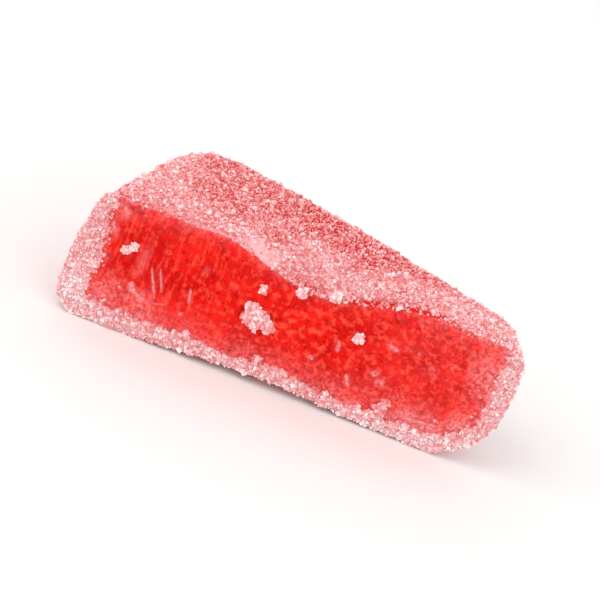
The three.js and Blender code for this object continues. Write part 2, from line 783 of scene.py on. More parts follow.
@dataclass(frozen=True)
class GranulatedSugar:
    """Granulated sucrose: hard crystals with flat facets and slightly scuffed faces.

    Real crystals are clear. They let the red under them through and throw small bright glints, so a bed of
    them looks pale pink, and single ones run from nearly white to the jelly's own red. Here each crystal is
    opaque, and its tint says how much red it shows. The tint also changes a little from facet to facet, which
    is painted reflection and refraction: some facets paler, as if they caught the light, others redder.

    Attributes:
        clearest: The colour at a tint of 0.
        middle: The colour in between.
        whitest: The colour at a tint of 1.
        middle_at: The tint at which a crystal has the middle colour.
        scuffs: The scuffs' pattern.
        polish: The roughness that it gives.
        ior: The IOR of sucrose.
        specular: The specular level, a little low because the faces are scuffed.
    """

    clearest: str = "#E03E3A"
    middle: str = "#F4999A"
    whitest: str = "#FFF0F1"
    middle_at: float = 0.45
    scuffs: Cloud = Cloud(0.12, 2.0, 0.5)
    polish: Spread = Spread(0.3, 0.7, 0.12, 0.4)
    ior: float = 1.54
    specular: float = 0.35

    def make(self) -> bpy.types.Material:
        """Builds the material.

        Returns:
            The finished material.
        """
        material = bpy.data.materials.new("granulated_sugar")
        material.use_nodes = True
        tree = material.node_tree
        tree.nodes.clear()
        where = add_node(tree, "ShaderNodeTexCoord").outputs["Object"]
        tint = add_node(tree, "ShaderNodeAttribute", attribute_name=TINT).outputs["Fac"]
        ramp = add_node(tree, "ShaderNodeValToRGB", {0: tint})
        ramp.color_ramp.elements[0].color = linear(self.clearest)
        ramp.color_ramp.elements[1].color = linear(self.whitest)
        ramp.color_ramp.elements.new(self.middle_at).color = linear(self.middle)
        scuffs = add_node(tree, "ShaderNodeTexNoise", self.scuffs.inputs(where))
        roughness = add_node(tree, "ShaderNodeMapRange", self.polish.inputs(scuffs.outputs["Fac"]))
        shader = add_node(
            tree, "ShaderNodeBsdfPrincipled",
            {
                "Base Color": ramp.outputs["Color"],
                "Roughness": roughness.outputs["Result"],
                "IOR": self.ior,
                "Specular IOR Level": self.specular,
            },
        )
        add_node(tree, "ShaderNodeOutputMaterial", {"Surface": shader.outputs["BSDF"]})
        return material


@dataclass(frozen=True)
class StudioPaper:
    """Matt white paper under and behind the piece.

    Attributes:
        colour: Its white.
        roughness: Its roughness.
    """

    colour: str = "#F6F5F4"
    roughness: float = 0.9

    def make(self) -> bpy.types.Material:
        """Builds the material.

        Returns:
            The finished material.
        """
        material = bpy.data.materials.new("studio_paper")
        material.use_nodes = True
        shader = material.node_tree.nodes["Principled BSDF"]
        shader.inputs["Base Color"].default_value = linear(self.colour)
        shader.inputs["Roughness"].default_value = self.roughness
        return material


# ---------------------------------------------------------------------------------------------------------
# The sugar's and the knife's marks on the jelly


@dataclass(frozen=True)
class Stroke:
    """One mark of the knife on the cut face.

    Attributes:
        upper: Its upper end, along and high.
        lower: Its lower end.
        width: From its middle line to where it has faded, about.
        strength: How deep it is in its middle.
        widest_cut: A wider mark is only a soft bruise.
        reach: How far it goes each way from its middle, as a share of its length.
    """

    upper: tuple[float, float]
    lower: tuple[float, float]
    width: float = 0.16
    strength: float = 0.8
    widest_cut: float = 0.3
    reach: float = 0.65

    @property
    def holds_sugar(self) -> bool:
        """Whether crushed sugar stands in the mark."""
        return self.width < self.widest_cut

    def at(self, flat: np.ndarray) -> np.ndarray:
        """Works out how deep the mark is.

        Args:
            flat: Places on the cut face, one row of along and high each.

        Returns:
            Its depth at each place, on the scale of its strength.
        """
        middle = (np.array(self.upper) + self.lower) / 2
        run = np.array(self.lower) - self.upper
        length = np.linalg.norm(run)
        run = run / length
        on_line = (flat - middle) @ run
        off_line = (flat - middle) @ np.array([run[1], -run[0]])
        return np.exp(-((off_line / self.width) ** 2)) * hump(on_line, self.reach * length) * self.strength


@dataclass(frozen=True)
class SugarRim:
    """The sugar's cut edge, round the cut face.

    Attributes:
        shape: The outer shape.
        widths: At the wide end, the narrow end, the base and the top. Below 0 the bare part passes the edge.
        taper: How much narrower it is at the top of the wide end.
        corner: How round the bare part's lower and upper corners are.
        wander: How much wider it is at the base, as places along the cut and widths.
        ragged: The unevenness of its edge.
        edge: How soft that edge is.
        corner_pale_and_painted_light: What whitens it in its lower corner, partly paler sugar and partly
            painted light that lifts the shade there.
        base_pale_and_painted_light: What whitens it at the base, where that is more, partly paler sugar and
            partly painted light that lifts the shade where the rim faces down.
        far_pale: What whitens it at the narrow end.
    """

    shape: WedgeShape
    widths: tuple[float, float, float, float] = (2.05, 1.4, 1.4, -0.35)
    taper: float = 1.0
    corner: tuple[float, float] = (1.3, 0.5)
    wander: tuple[tuple[float, float], ...] = (
        (1.0, 0.0),
        (3.0, 0.4),
        (8.0, 0.2),
        (12.0, 0.35),
        (16.5, -0.4),
        (19.5, 0.2),
        (25.0, -0.25),
        (34.0, 0.2),
        (37.0, 0.0),
    )
    ragged: tuple[Mottle, ...] = (Mottle(0.9, 0.0, 0.3), Mottle(0.4, 7.0, 0.2))
    edge: float = 0.12
    # Painted light: corner_pale_and_painted_light and base_pale_and_painted_light whiten the lower rim partly
    # to lift the shade where it faces down.
    corner_pale_and_painted_light: Spot = Spot(1.6, 2.4, 3.0, 1.7)
    base_pale_and_painted_light: tuple[Zone, ...] = (Zone(0.3, None, (2.6, 1.8)), Zone(0.5, (22.0, 28.0), (2.6, 1.8)))
    far_pale: Spot = Spot(37.0, 9.0, 4.0, 0.8)

    def inward(self, along: np.ndarray, up: np.ndarray) -> np.ndarray:
        """Measures how far inside the rim each point of the cut face is.

        Args:
            along: The points' shares along the cut.
            up: Their shares up it.

        Returns:
            The distances in millimetres, below 0 on the rim.
        """
        wide_end, narrow_end, base, top = self.widths
        length, thickness = self.shape.length, self.shape.thickness
        corner = np.where(up < 0.5, *self.corner)
        from_wide_end = along * length - wide_end + self.taper * smooth_step(0.5, 1.0, up)
        from_narrow_end = (1 - along) * length - narrow_end
        wider = np.interp(along * length + self.shape.cut_start, *zip(*self.wander))
        from_base = up * thickness - base - wider
        from_top = (1 - up) * thickness - top
        past_end = corner - np.minimum(from_wide_end, from_narrow_end)
        past_edge = corner - np.minimum(from_base, from_top)
        in_corner = np.hypot(np.maximum(past_end, 0), np.maximum(past_edge, 0))
        return corner - in_corner - np.minimum(np.maximum(past_end, past_edge), 0)

    def cover(self, inward: np.ndarray, places: np.ndarray) -> np.ndarray:
        """Returns 1 on the rim and 0 inside it, with a ragged edge."""
        return 1.0 - smooth_step(-self.edge, self.edge, inward + mottled(self.ragged, places))

    def paleness(self, along: np.ndarray, high: np.ndarray) -> np.ndarray:
        """Returns how white it is: 1 for most of it and more where the marks say. Low down, part of that
        extra is painted light against the shade.
        """
        # Painted light: the lower corner and the base are whitened partly to lift their shade.
        low_pale_and_painted_light = np.maximum(self.corner_pale_and_painted_light.at(along, high), total(self.base_pale_and_painted_light, along, high))
        return 1.0 + low_pale_and_painted_light + self.far_pale.at(along, high)


@dataclass(frozen=True)
class FrontEdge:
    """What the blade did to the sugar along the top's front edge, at places along and deep.

    Attributes:
        wiped: Where it wiped the grains off.
        pressed: Where it pressed them smooth.
        firmness: How smooth.
        fold_centre: Where along the cut it folded the edge down, which pressed it more.
        fold_reach: How far the fold goes each way.
        fold_back: How much further back the pressed part goes there.
        fold_firm: How much smoother it is there.
        pale: How white the pressed sugar is, partly crushed sugar and partly a painted sheen on the smooth
            patch.
    """

    wiped: Zone = Zone(1.0, (22.8, 24.2), (1.3, 0.5), until=(34.0, 31.5))
    pressed: Zone = Zone(1.0, None, (2.3, 0.5), until=(21.0, 16.0))
    firmness: Uneven = Uneven(0.65, (Mottle(1.4, 61.0, 0.8),))
    fold_centre: float = 15.3
    fold_reach: float = 3.0
    fold_back: float = 0.7
    fold_firm: float = 0.7
    pale: float = 0.75

    def smoothness(self, places: np.ndarray) -> np.ndarray:
        """Works out how smooth the blade pressed the sugar.

        Args:
            places: Places on the top in millimetres, one row each.

        Returns:
            The smoothness at each place, from 0 to 1.
        """
        along, deep = places[:, 0], places[:, 1]
        fold = hump(along - self.fold_centre, self.fold_reach)
        strip = self.pressed.at(along, deep - self.fold_back * fold)
        return strip * self.firmness.at(places, self.fold_firm * fold)


@dataclass(frozen=True)
class CutDust:
    """Fine sugar on the bare cut face, which dulls and whitens it.

    Attributes:
        beside_rim: Dust that thins out from the rim inwards.
        below_top: Dust that thins out downwards from the top's edge.
        crisp: Where the cut is crisp and has less of that.
        crispness: How much less.
        low: Dust in the lower half, by its strength, the height of its middle and its reach.
        far: Dust towards the narrow end.
        end: The thick dust at the narrow end.
        end_bend: How much that starts further along, for each millimetre away from a height, and the height.
        far_corner: Dust in the upper corner of that end.
        clouds: The dust's unevenness.
        patches: Where the knife left fine sugar.
        patch_clouds: Their unevenness.
    """

    beside_rim: Fringe = Fringe(0.3, 0.3)
    below_top: tuple[Fringe, Fringe] = (Fringe(0.3, 0.9), Fringe(0.45, 0.25))
    crisp: tuple[Zone, ...] = (
        Zone(0.6, (4.0, 9.0), until=(34.0, 31.0)),
        Zone(0.4, (9.0, 13.0), until=(34.0, 31.0)),
    )
    crispness: float = 0.75
    low: tuple[float, float, float] = (0.35, 1.6, 1.9)
    far: Zone = Zone(0.08, (24.0, 33.0))
    end: Zone = Zone(0.5, (34.6, 38.8))
    end_bend: tuple[float, float] = (0.3, 5.0)
    far_corner: Spot = Spot(37.2, 8.8, 3.0, 0.55)
    clouds: Uneven = Uneven(0.95, (Mottle(1.6, 3.0, 0.3), Mottle(0.6, 23.0, 0.25)), 1.4)
    patches: tuple[Spot, ...] = (
        Spot(28.0, 5.2, 0.7, 1.1),
        Spot(28.7, 4.6, 0.8, 1.0),
        Spot(30.6, 3.9, 0.8, 0.6),
        Spot(32.5, 7.5, 0.7, 0.7),
        Spot(34.1, 8.4, 0.6, 0.6),
        Spot(30.4, 11.2, 0.7, 0.6),
        Spot(8.5, 2.8, 0.6, 0.7),
        Spot(6.15, 4.35, 0.75, 1.0),
        Spot(3.1, 10.8, 1.6, 0.7),
        Spot(2.8, 8.6, 1.3, 0.7),
        Spot(2.8, 6.2, 1.2, 0.6),
        Spot(4.2, 3.5, 2.6, 0.8),
        Spot(7.2, 3.1, 2.4, 0.8),
        Spot(32.0, 2.4, 1.5, 0.8),
        Spot(34.0, 2.6, 1.6, 0.9),
        Spot(36.2, 3.3, 2.0, 1.0),
    )
    patch_clouds: Uneven = Uneven(0.8, (Mottle(0.5, 19.0, 0.5),), 1.2)

    def veil(self, inward: np.ndarray, below: np.ndarray, places: np.ndarray) -> np.ndarray:
        """Works out how much dust dulls each point of the cut face, from 0 to 1.

        Args:
            inward: How far inside the rim each point is, in millimetres.
            below: How far below the top's edge it is.
            places: The points' places.

        Returns:
            The veil at each point.
        """
        along, high = places[:, 0], places[:, 2]
        wide, narrow = self.below_top
        kept = 1 - self.crispness * total(self.crisp, along, high)
        below_top = (wide.at(below) + narrow.at(below)) * kept
        strength, middle, reach = self.low
        low = strength * np.exp(-(((high - middle) / reach) ** 2))
        per_mm, straight_at = self.end_bend
        bent = along - per_mm * np.abs(high - straight_at)
        at_end = self.far.at(along, high) + self.end.at(bent, high)
        dust = self.beside_rim.at(inward) + below_top + low + at_end
        return np.clip(dust * self.clouds.at(places) + self.far_corner.at(along, high), 0, 1)

    def patched(self, places: np.ndarray) -> np.ndarray:
        """Returns how thick the patches are at each point."""
        thickest = np.max([patch.at(places[:, 0], places[:, 2]) for patch in self.patches], axis=0)
        return thickest * self.patch_clouds.at(places)


@dataclass(frozen=True)
class SugarPaleness:
    """How white the sugar is on the top and the other crusted sides.

    On the top it is whitest in a band that wanders along the cut, and at the ends. On the other sides it is
    whitest next to the cut and below the top, and the grains stand in huddles with bare jelly between them.

    Attributes:
        band: The band's line, as places along the cut and distances behind it.
        band_width: How far off it a third is left.
        band_pale: How white the band is, above the top's level.
        top_level: How white the rest of the top is.
        on_top: What whitens or reddens it, along and deep.
        wiped_red: How much it loses where the grains are wiped off.
        huddle_pale: How white a huddle is.
        beside_cut: What whitens the sides next to the cut, where that is more.
        below_top: What whitens them below the top.
        patches: Unevenness.
        patch_shares: How much of that the top and the other sides have.
    """

    band: tuple[tuple[float, float], ...] = (
        (6.0, 5.5),
        (9.0, 3.5),
        (13.0, 2.0),
        (16.0, 1.4),
        (19.0, 3.6),
        (23.0, 2.4),
        (28.0, 3.8),
        (36.0, 3.6),
    )
    band_width: float = 1.9
    band_pale: float = 0.75
    top_level: float = 0.25
    on_top: tuple[Zone | Spot, ...] = (
        Zone(0.5, (10.0, 5.5)),
        Zone(0.22, (30.0, 34.0)),
        Zone(-0.35, (15.0, 20.0), (5.5, 9.0)),
        Zone(-0.45, (14.0, 11.0), (1.8, 0.6)),
        Spot(16.5, 3.4, 2.6, -0.5),
        Spot(18.8, 5.3, 2.2, 0.35),
    )
    wiped_red: float = 0.9
    huddle_pale: float = 0.25
    beside_cut: Zone = Zone(0.8, None, (2.5, 0.5))
    below_top: Zone = Zone(0.6, None, (10.6, 11.6))
    patches: tuple[Mottle, ...] = (Mottle(3.2, 41.0, 0.3), Mottle(1.3, 43.0, 0.15))
    patch_shares: tuple[float, float] = (0.8, 0.3)

    def at(self, top: np.ndarray, places: np.ndarray, huddle: np.ndarray, wiped: np.ndarray) -> np.ndarray:
        """Works out the paleness, from 0 to 1.

        Args:
            top: Which points lie on the top.
            places: Their places in millimetres.
            huddle: How closely the grains stand together, from 0 to 1.
            wiped: How far the grains are wiped off, from 0 to 1.

        Returns:
            The paleness at each point.
        """
        along, deep, high = places.T
        off_band = (deep - np.interp(along, *zip(*self.band))) / self.band_width
        on_top = self.top_level + self.band_pale * np.exp(-(off_band**2))
        on_top = on_top + total(self.on_top, along, deep) - self.wiped_red * wiped
        on_side = np.maximum(self.huddle_pale * huddle, self.beside_cut.at(along, deep))
        on_side = on_side + self.below_top.at(along, high)
        patches = np.where(top, *self.patch_shares) * mottled(self.patches, places)
        return np.clip(np.where(top, on_top, on_side) + patches, 0, 1)


@dataclass(frozen=True)
class Thinning:
    """How many grains of one kind stay, as shares of the closest that they can stand.

    Attributes:
        on_rim: On the sugar's cut edge.
        on_top: On the top.
        spread: On the other sides, between the huddles.
        huddled: In the huddles.
        pressed_off: The share of those on the top that is gone where the blade pressed the sugar smooth.
        wiped_off: The share that is gone where it wiped the grains off.
    """

    on_rim: float
    on_top: float
    spread: float
    huddled: float
    pressed_off: float = 0.0
    wiped_off: float = 0.0


@dataclass(frozen=True)
class SugarMap:
    """Where sugar, dust and the knife's marks lie on the jelly.

    Attributes:
        shape: The outer shape.
        rim: The sugar's cut edge.
        front_edge: What the blade did to the top's front edge.
        dust: Fine sugar on the cut.
        paleness: How white the sugar is elsewhere.
        thinnings: How closely each kind of grain stands.
        rim_reach: How far from the cut the rim's grains go over the other sides.
        low_rim: How many more main grains the rim has low down, and below which height.
        huddles: Noise that is above 0 in the sides' huddles.
        huddle_edge: How soft their edges are.
        in_veil: How many grains stray into the bare part with the square of the veil.
        in_patches: How many do with the fourth power of the dust's patches.
        off_rim: How many do beside the rim, at the ends.
        ends: Where those ends are.
        patch_veil: How much veil the patches give.
        strokes: The knife's marks.
    """

    shape: WedgeShape
    rim: SugarRim
    front_edge: FrontEdge = FrontEdge()
    dust: CutDust = CutDust()
    paleness: SugarPaleness = SugarPaleness()
    thinnings: tuple[tuple[Mask, Thinning], ...] = (
        (Mask.RIM, Thinning(1.0, 1.0, 1.0, 1.0, pressed_off=0.92, wiped_off=0.8)),
        (Mask.FINE, Thinning(0.0, 1.0, 0.3, 0.8, pressed_off=0.92, wiped_off=0.7)),
        (Mask.MAIN, Thinning(0.2, 0.25, 0.25, 0.95, pressed_off=1.0)),
        (Mask.COARSE, Thinning(0.03, 0.012, 0.0, 1.0)),
    )
    rim_reach: float = 1.2
    low_rim: tuple[float, float] = (0.15, 2.4)
    huddles: tuple[Mottle, ...] = (Mottle(1.7, 51.0), Mottle(0.8, 53.0, 0.4))
    huddle_edge: float = 0.35
    in_veil: float = 0.12
    in_patches: float = 0.5
    off_rim: Fringe = Fringe(0.2, 0.35)
    ends: tuple[Zone, Zone] = (Zone(1.0, (7.0, 4.0)), Zone(1.0, (33.0, 36.0)))
    patch_veil: float = 0.6
    strokes: tuple[Stroke, ...] = (
        Stroke((6.4, 8.9), (6.2, 5.4), 0.42, 0.6),
        Stroke((7.2, 6.9), (8.3, 4.2), 0.16, 0.8),
        Stroke((7.9, 7.1), (8.7, 5.0), 0.15, 0.65),
        Stroke((6.05, 4.9), (6.2, 3.9), 0.29, 0.9),
        Stroke((10.9, 6.4), (11.2, 4.9), 0.16, 0.8),
        Stroke((10.8, 4.0), (10.9, 3.5), 0.22, 0.7),
        Stroke((3.2, 11.5), (3.9, 10.1), 0.3, 0.7),
        Stroke((2.8, 9.6), (3.4, 8.3), 0.3, 0.7),
        Stroke((11.7, 9.0), (11.6, 8.1), 0.3, 0.35),
        Stroke((14.1, 8.4), (14.5, 7.6), 0.3, 0.35),
        Stroke((6.15, 4.15), (7.6, 3.6), 0.28, 0.9),
        Stroke((9.5, 4.1), (8.0, 3.6), 0.13, 0.4),
        Stroke((24.25, 7.0), (24.35, 5.8), 0.24, 0.6),
        Stroke((25.75, 4.2), (26.3, 3.2), 0.24, 1.0),
        Stroke((27.9, 8.3), (29.4, 8.0), 0.22, 1.0),
        Stroke((22.35, 4.7), (22.65, 4.3), 0.24, 1.2),
        Stroke((30.8, 8.7), (31.0, 8.3), 0.2, 0.6),
        Stroke((34.6, 2.6), (31.4, 2.2), 0.22, 0.9),
    )

    def masks(self, shares: np.ndarray, places: np.ndarray) -> dict[Mask, np.ndarray]:
        """Works out every mask of the jelly body.

        Args:
            shares: Shares along, across and up of every point.
            places: Their places in millimetres.

        Returns:
            A value for each mask and point.
        """
        along, deep, high = places.T
        on_cut = shares[:, 1] == 0
        up = shares[:, 2]
        top = up == 1
        inward = self.rim.inward(shares[:, 0], up)
        crust = np.where(on_cut, self.rim.cover(inward, places), 1.0)
        bare = np.where(on_cut, 1 - crust, 0.0)
        strokes = np.max([stroke.at(places[:, [0, 2]]) for stroke in self.strokes], axis=0)
        patches = self.dust.patched(places) * bare
        veil = np.where(on_cut, self.dust.veil(inward, (1 - up) * self.shape.thickness, places), 0.0)
        huddle = smooth_step(-self.huddle_edge, self.huddle_edge, mottled(self.huddles, places))
        pressed = np.where(top, self.front_edge.smoothness(places), 0.0)
        wiped = np.where(top, self.front_edge.wiped.at(along, deep), 0.0)
        kept = {}
        for mask, thinning in self.thinnings:
            on_top = (1 - thinning.pressed_off * pressed) * (1 - thinning.wiped_off * wiped)
            on_side = between(thinning.spread, thinning.huddled, huddle)
            off_cut = np.where(top, thinning.on_top * on_top, on_side)
            kept[mask] = np.where(on_cut, thinning.on_rim * crust, off_cut)
        more, below = self.low_rim
        kept[Mask.MAIN] += more * crust * (on_cut & (high < below))
        stray = self.in_veil * veil**2 + self.in_patches * patches**4
        stray = stray + total(self.ends, along, high) * self.off_rim.at(inward)
        rim_grains = kept[Mask.RIM] * hump(deep, self.rim_reach)
        kept[Mask.RIM] = np.clip(np.where(on_cut, kept[Mask.RIM] + stray, rim_grains), 0, 1)
        # The pressed strip's whiteness is partly a painted sheen on the smooth sugar.
        off_cut = np.maximum(self.paleness.at(top, places, huddle, wiped), self.front_edge.pale * pressed)
        return {
            Mask.CRUST: crust,
            Mask.VEIL: np.clip(veil + self.patch_veil * patches, 0, 1),
            Mask.STROKE: np.clip(strokes, 0, 1) * bare,
            Mask.PALE: np.where(on_cut, crust * self.rim.paleness(along, high), off_cut),
            **kept,
        }


# ---------------------------------------------------------------------------------------------------------
# The jelly


@dataclass
class JellyBody:
    """The jelly itself: one closed body, a crust's thickness inside the outer shape.

    Attributes:
        shape: The outer shape.
        place: Carries it to the part's frame.
        sugar: Where the sugar lies on it.
        crust: How thick the sugar is on the sides that it covers, in millimetres.
        paste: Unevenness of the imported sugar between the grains.
        rim_proud: How far the sugar's cut edge stands out of the cut face.
        stroke_depth: How deep the knife's marks are.
        waves: The cut face's slow and quick waves.
        wave_stretch: What the places are multiplied by for the slow ones, which run upwards.
        lattice: The mesh's grid.
    """

    shape: WedgeShape
    place: Place
    sugar: SugarMap
    crust: float = 0.15
    paste: tuple[Mottle, ...] = (Mottle(0.5, 11.0, 0.1), Mottle(0.28, 5.0, 0.06))
    rim_proud: float = 0.12
    stroke_depth: float = 0.08
    waves: tuple[Mottle, Mottle] = (Mottle(3.4, 2.0, 0.12), Mottle(1.1, 9.0, 0.03))
    wave_stretch: tuple[float, float, float] = (1.0, 1.0, 0.6)
    lattice: Lattice = Lattice((300, 44, 92))

    def relief(self, shares: np.ndarray, places: np.ndarray, masks: dict[Mask, np.ndarray]) -> np.ndarray:
        """Works out how far each point stands out, in millimetres.

        Args:
            shares: Shares along, across and up of every point.
            places: Their places in millimetres.
            masks: The sugar's masks.

        Returns:
            The paste's, the waves' and the strokes' height at each point.
        """
        crust = masks[Mask.CRUST]
        slow, quick = self.waves
        waves = slow.at(places * self.wave_stretch) + quick.at(places)
        cut = self.rim_proud * crust + (1 - crust) * waves - self.stroke_depth * masks[Mask.STROKE]
        return crust * mottled(self.paste, places) + np.where(shares[:, 1] == 0, cut, 0.0)

    def build(self) -> bpy.types.Object:
        """Builds the body with its masks.

        Returns:
            The jelly body's object.
        """
        shares = self.lattice.points()
        depth = self.shape.depth(shares[:, 0])
        inset = np.column_stack([
            self.crust / self.shape.length * (1 - 2 * shares[:, 0]),
            -self.crust / depth * shares[:, 1],
            self.crust / self.shape.thickness * (1 - 2 * shares[:, 2]),
        ])
        places = self.shape.place(shares + inset)
        masks = self.sugar.masks(shares, places)
        mesh = bpy.data.meshes.new("jelly_body")
        mesh.from_pydata(self.place.to_row(places), [], self.lattice.quads().tolist(), shade_flat=False)
        mesh.update()
        normals = np.empty(len(places) * 3, np.float32)
        mesh.vertex_normals.foreach_get("vector", normals)
        raised = places + normals.reshape(-1, 3) * self.relief(shares, places, masks)[:, None]
        mesh.vertices.foreach_set("co", self.place.to_row(raised).astype(np.float32).ravel())
        for mask, values in masks.items():
            layer = mesh.attributes.new(mask.value, "FLOAT", "POINT")
            layer.data.foreach_set("value", values.astype(np.float32))
        mesh.update()
        return new_piece("jelly_body", mesh)

    def dress(self, piece: bpy.types.Object) -> None:
        """Gives the body its finish and its place in the part.

        Args:
            piece: The body's object.
        """
        piece.data.materials.append(PectinJelly().make())
        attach(piece, BODY)
        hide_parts(NODE)


# ---------------------------------------------------------------------------------------------------------
# The sugar


@dataclass(frozen=True)
class CrystalBed:
    """Sugar crystals scattered over a surface by Geometry Nodes, one closed mesh each.

    Attributes:
        name: The piece's name.
        mask: The attribute that thins the crystals out.
        spacing_mm: The least distance between two crystals.
        per_mm2: How many there are before they are thinned.
        smallest_mm: The smallest crystal.
        largest_mm: The largest crystal.
        lift: How far a crystal's middle stands off the surface, as a share of its size.
        whiteness: The lowest and highest tint, from clear to white.
        habit: The crystals' shape.
        seed: Fixes the scatter.
        shapes: How many different crystals there are.
        skew: How far a crystal's points are moved, as a share of its size.
        blunting: How much nearer to its middle the points furthest out are drawn.
        smallness: 1 gives all sizes alike, and more gives more small crystals.
        stretch: The least and the greatest stretch along each of a crystal's axes.
        painted_glint_contrast: How much the tint changes between a crystal's facets, which paints their
            reflection and refraction.
    """

    name: str
    mask: str
    spacing_mm: float
    per_mm2: float
    smallest_mm: float
    largest_mm: float
    lift: float
    whiteness: tuple[float, float]
    habit: Habit = Habit.TABLET
    seed: int = 1
    shapes: int = 5
    skew: float = 0.09
    blunting: Spread = Spread(0.45, 0.85, 1.0, 0.8)
    smallness: float = 1.7
    stretch: tuple[float, float] = (0.8, 1.2)
    painted_glint_contrast: float = 0.35

    @property
    def values(self) -> dict[str, float]:
        """The tree's number inputs.

        Returns:
            Their values by name, with lengths in metres.
        """
        return {
            "Spacing": self.spacing_mm * MM,
            "Per area": self.per_mm2 / MM**2,
            "Smallest": self.smallest_mm * MM,
            "Largest": self.largest_mm * MM,
            "Lift": self.lift,
            "Least white": self.whiteness[0],
            "Most white": self.whiteness[1],
            "Painted glint contrast": self.painted_glint_contrast,
        }

    def crystal(self, tree: bpy.types.NodeTree, number: int) -> bpy.types.NodeSocket:
        """Adds the nodes of one crystal, a hull over a jittered block one unit across.

        Args:
            tree: The scatter's tree.
            number: Which of the crystal shapes it is. Each is narrower and thicker than the one before.

        Returns:
            The socket that holds the crystal.
        """
        points = self.habit.value
        proportions = (1.0, 0.95 - 0.07 * number, 0.72 + 0.05 * number)
        block = add_node(
            tree, "GeometryNodeMeshCube",
            {"Size": proportions, "Vertices X": points, "Vertices Y": points, "Vertices Z": points},
        )
        where = add_node(tree, "GeometryNodeInputPosition").outputs["Position"]
        distance = add_node(tree, "ShaderNodeVectorMath", {0: where}, operation="LENGTH")
        pull = add_node(tree, "ShaderNodeMapRange", self.blunting.inputs(distance.outputs["Value"]))
        pulled = add_node(
            tree, "ShaderNodeVectorMath", {0: where, "Scale": pull.outputs["Result"]}, operation="SCALE"
        )
        jitter = add_node(
            tree, "FunctionNodeRandomValue",
            {0: (-self.skew,) * 3, 1: (self.skew,) * 3, "Seed": 31 * number + self.seed},
            data_type="FLOAT_VECTOR",
        )
        moved = add_node(
            tree, "GeometryNodeSetPosition",
            {
                "Geometry": block.outputs["Mesh"],
                "Position": pulled.outputs["Vector"],
                "Offset": jitter.outputs[0],
            },
        )
        hull = add_node(tree, "GeometryNodeConvexHull", {"Geometry": moved.outputs["Geometry"]})
        return hull.outputs["Convex Hull"]

    def scattered(
        self, tree: bpy.types.NodeTree, given: bpy.types.bpy_prop_collection
    ) -> tuple[bpy.types.NodeSocket, bpy.types.NodeSocket]:
        """Adds the nodes that scatter points over the surface, lift them off it and size them.

        Args:
            tree: The scatter's tree.
            given: The tree's inputs.

        Returns:
            The points and their sizes.
        """
        thinning = add_node(
            tree, "GeometryNodeInputNamedAttribute", {"Name": given["Thinning"]}, data_type="FLOAT"
        )
        spots = add_node(
            tree, "GeometryNodeDistributePointsOnFaces",
            {
                "Mesh": given["Geometry"],
                "Distance Min": given["Spacing"],
                "Density Max": given["Per area"],
                "Density Factor": thinning.outputs["Attribute"],
                "Seed": given["Seed"],
            },
            distribute_method="POISSON",
        )
        chance = add_node(
            tree, "FunctionNodeRandomValue", {2: 0.0, 3: 1.0, "Seed": given["Seed"]}, data_type="FLOAT"
        )
        mostly_small = add_node(
            tree, "ShaderNodeMath", {0: chance.outputs[1], 1: self.smallness}, operation="POWER"
        )
        size = add_node(
            tree, "ShaderNodeMapRange",
            {"Value": mostly_small.outputs["Value"], "To Min": given["Smallest"], "To Max": given["Largest"]},
        ).outputs["Result"]
        lift = add_node(tree, "ShaderNodeMath", {0: size, 1: given["Lift"]}, operation="MULTIPLY")
        offset = add_node(
            tree, "ShaderNodeVectorMath",
            {0: spots.outputs["Normal"], "Scale": lift.outputs["Value"]}, operation="SCALE",
        )
        standing = add_node(
            tree, "GeometryNodeSetPosition",
            {"Geometry": spots.outputs["Points"], "Offset": offset.outputs["Vector"]},
        )
        return standing.outputs["Geometry"], size

    def placed(
        self, tree: bpy.types.NodeTree, points: bpy.types.NodeSocket, size: bpy.types.NodeSocket
    ) -> bpy.types.NodeSocket:
        """Adds the nodes that put a turned and stretched crystal on each point.

        Args:
            tree: The scatter's tree.
            points: Where the crystals stand.
            size: Their sizes.

        Returns:
            The crystals, as instances.
        """
        crystals = add_node(tree, "GeometryNodeGeometryToInstance")
        for number in range(self.shapes):
            tree.links.new(self.crystal(tree, number), crystals.inputs[0])
        least, greatest = self.stretch
        turn = add_node(
            tree, "FunctionNodeRandomValue",
            {0: (0.0, 0.0, 0.0), 1: (math.tau,) * 3, "Seed": 5}, data_type="FLOAT_VECTOR",
        )
        stretch = add_node(
            tree, "FunctionNodeRandomValue",
            {0: (least,) * 3, 1: (greatest,) * 3, "Seed": 6}, data_type="FLOAT_VECTOR",
        )
        scale = add_node(
            tree, "ShaderNodeVectorMath", {0: stretch.outputs[0], "Scale": size}, operation="SCALE"
        )
        which = add_node(
            tree, "FunctionNodeRandomValue", {4: 0, 5: self.shapes - 1, "Seed": 7}, data_type="INT"
        )
        placed = add_node(
            tree, "GeometryNodeInstanceOnPoints",
            {
                "Points": points,
                "Instance": crystals.outputs[0],
                "Pick Instance": True,
                "Instance Index": which.outputs[2],
                "Rotation": turn.outputs[0],
                "Scale": scale.outputs["Vector"],
            },
        )
        return placed.outputs["Instances"]

